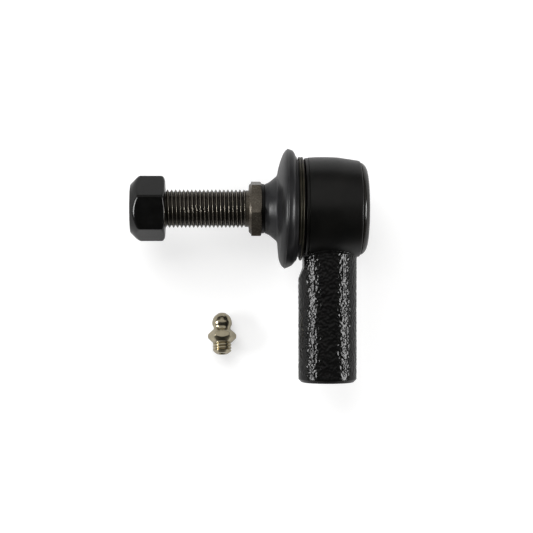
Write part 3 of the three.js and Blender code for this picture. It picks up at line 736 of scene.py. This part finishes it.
def make_fitting(paint):
    place, along = fitting_place()
    bore_radius = 1.3
    mouth = (1.3, 0.75)
    thread_from, thread_to = HEX_TO, FITTING_LENGTH - 0.25

    form = Form()
    head = flowing([
        (0.26, 1.6), (0.72, 2.2), (1.42, 2.74), (2.3, 3.04), (3.1, 3.2), (3.75, 3.08), (4.25, 2.85),
    ], 6)
    neck = rounded([(4.25, 2.85), (4.65, 2.7, 0.3), (HEX_FROM, 2.7, 0.1)])
    face = rounded([mouth, (0.15, 0.75, 0.15), (0.0, 0.95, 0.1), (0.0, 1.35, 0.1), (0.26, 1.6)])
    form.grid(turned(finer(face + head + neck, 0.3), 96))
    hexagon = finer(rounded([
        (HEX_FROM, 2.7), (HEX_FROM + 0.02, 2.95, 0.1), (HEX_FROM + 1.75, 4.75, 0.1),
        (HEX_TO - 1.75, 4.75, 0.1), (HEX_TO - 0.02, 2.95, 0.1), (HEX_TO, 2.5),
    ]), 0.1)
    form.grid(hex_rows(hexagon, FITTING_FLATS, FITTING_CORNER, edge=0.3, blend=0.15))

    def trim(place_along, radius):
        return np.minimum(radius, 2.15 + np.clip(thread_to - place_along, 0, None) * 1.3)

    rows, shift = thread_rows(thread_from, thread_to, M6_CREST, M6_ROOT, M6_PITCH, trim,
                              valley=0.06, flank=0.5)
    form.grid(rows, seam_shift=shift)
    end_and_bore = rounded([
        (thread_to, 2.15), (FITTING_LENGTH, 1.85, 0.15), (FITTING_LENGTH, 0.95, 0.08),
        (FITTING_LENGTH - 0.5, 0.95), (FITTING_LENGTH - 0.5, bore_radius), (1.55, bore_radius), mouth,
    ])
    form.grid(turned(finer(end_and_bore, 0.8), 96))
    body = form.build("grease_fitting_body_fine", [paint["nickel"]], place, sharp=70)
    finish(body, "loose_fitting", "fitting_nickel", "grease_fitting_body")

    form = Form()
    form.grid(turned(arc(centre=(1.835, 0), radius=1.05, start=180, end=0, steps=32), 64))
    ball = form.build("grease_fitting_check_ball_fine", [paint["ball"]], place)
    finish(ball, "check_ball", "check_ball_steel", "grease_fitting_check_ball")

    form = Form()
    start, end = 3.19, FITTING_LENGTH - 0.96
    turns, wire = 6, 0.16
    form.grid(coil_rows(0.85, wire, start, (end - start) / turns, turns, 0, along_steps=36, sides=10))
    spring = form.build("grease_fitting_spring_fine", [paint["spring"]], place)
    finish(spring, "loose_fitting", "spring_steel", "grease_fitting_spring")
    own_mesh(spring)


# ---------- studio, in metres ----------

FLOOR_REACH = 2.5
FLOOR_GAP = 0.00002  # keeps the part's lowest points out of the floor


def make_floor():
    """A pale matt sheet that gives off some light, more to the camera than to the part."""
    material, tree, shader = nodes_of("pale_floor")
    shader.inputs["Base Color"].default_value = (0.5, 0.5, 0.5, 1)
    shader.inputs["Emission Color"].default_value = (1, 1, 1, 1)
    rays = tree.nodes.new("ShaderNodeLightPath")
    glow = ramp(tree, rays.outputs["Is Camera Ray"], 0, 1, 0.1, 0.58)
    tree.links.new(glow, shader.inputs["Emission Strength"])
    shader.inputs["Roughness"].default_value = 0.9
    shader.inputs["Specular IOR Level"].default_value = 0.1
    form = bmesh.new()
    bmesh.ops.create_grid(form, x_segments=8, y_segments=8, size=FLOOR_REACH)
    mesh = bpy.data.meshes.new("floor")
    form.to_mesh(mesh)
    form.free()
    mesh.materials.append(material)
    floor = bpy.data.objects.new("floor", mesh)
    floor.location = (0, 0, FLOOR - FLOOR_GAP)
    bpy.context.scene.collection.objects.link(floor)


def area_light(name, place, target, size, power, in_gloss=True):
    """A rectangular light that faces its target. Power is in watts."""
    data = bpy.data.lights.new(name, "AREA")
    data.shape = "RECTANGLE"
    data.size, data.size_y = size
    data.energy = power
    light = bpy.data.objects.new(name, data)
    light.location = place
    light.rotation_euler = (Vector(target) - Vector(place)).to_track_quat("-Z", "Y").to_euler()
    light.visible_glossy = in_gloss
    bpy.context.scene.collection.objects.link(light)


def make_world():
    """A dark ceiling, a dim glow high on the +Y side, and a paler band near the floor."""
    world = bpy.data.worlds.new("studio")
    world.use_nodes = True
    tree = world.node_tree
    background = tree.nodes["Background"]
    where = tree.nodes.new("ShaderNodeTexCoord")
    split = tree.nodes.new("ShaderNodeSeparateXYZ")
    tree.links.new(where.outputs["Generated"], split.inputs["Vector"])
    horizon, ceiling, high_glow = 0.16, 0.025, 0.5
    low = ramp(tree, split.outputs["Z"], 0.0, 0.45, horizon, ceiling)
    narrowed = tree.nodes.new("ShaderNodeVectorMath")
    narrowed.operation = "MULTIPLY"
    tree.links.new(where.outputs["Generated"], narrowed.inputs[0])
    narrowed.inputs[1].default_value = (0.45, 1, 1)
    unit = tree.nodes.new("ShaderNodeVectorMath")
    unit.operation = "NORMALIZE"
    tree.links.new(narrowed.outputs["Vector"], unit.inputs[0])
    facing = tree.nodes.new("ShaderNodeVectorMath")
    facing.operation = "DOT_PRODUCT"
    tree.links.new(unit.outputs["Vector"], facing.inputs[0])
    facing.inputs[1].default_value = (-0.05, 0.565, 0.824)
    glow = ramp(tree, facing.outputs["Value"], 0.76, 0.92, 0.0, high_glow)
    total = tree.nodes.new("ShaderNodeMath")
    total.operation = "ADD"
    tree.links.new(low, total.inputs[0])
    tree.links.new(glow, total.inputs[1])
    tree.links.new(total.outputs["Value"], background.inputs["Strength"])
    background.inputs["Color"].default_value = (1, 0.99, 0.97, 1)
    bpy.context.scene.world = world


def make_studio():
    make_floor()
    make_world()
    middle = (-0.02, 0.035, 0)
    area_light("left_box", (-0.58, 0.02, 0.26), middle, (0.26, 0.15), 2.6)
    area_light("right_box", (0.55, 0.02, 0.245), middle, (0.26, 0.15), 2.6)
    area_light("soft_key", (-0.3, 0.65, 0.75), middle, (0.8, 0.8), 8.5, in_gloss=False)
    bpy.context.scene.view_settings.view_transform = "Standard"
    bpy.context.scene.view_settings.exposure = 0.0


def make_camera():
    """Nearly straight above, with the nut's end a little nearer than the socket's."""
    aim = Vector((-19.07 * MM, BALL.y - 18.06 * MM, 0))
    distance = 0.475
    lean = math.radians(2.0)
    back = Vector((-math.sin(lean), 0, 1)).normalized()
    data = bpy.data.cameras.new("camera")
    data.lens = 102.7
    data.sensor_width = 36
    data.clip_start = 0.01
    camera = bpy.data.objects.new("camera", data)
    upright = back.cross(Vector((1, 0, 0))).normalized()
    camera.matrix_world = Matrix((upright.cross(back), upright, back)).transposed().to_4x4()
    camera.location = aim + back * distance
    bpy.context.scene.collection.objects.link(camera)
    bpy.context.scene.camera = camera


def main():
    paint = make_materials()
    make_housing(paint)
    make_cover(paint)
    make_ring(paint)
    make_boot(paint)
    make_stud(paint)
    make_nut(paint)
    make_seats(paint)
    make_preload_spring(paint)
    make_fitting(paint)
    make_studio()
    make_camera()


main()
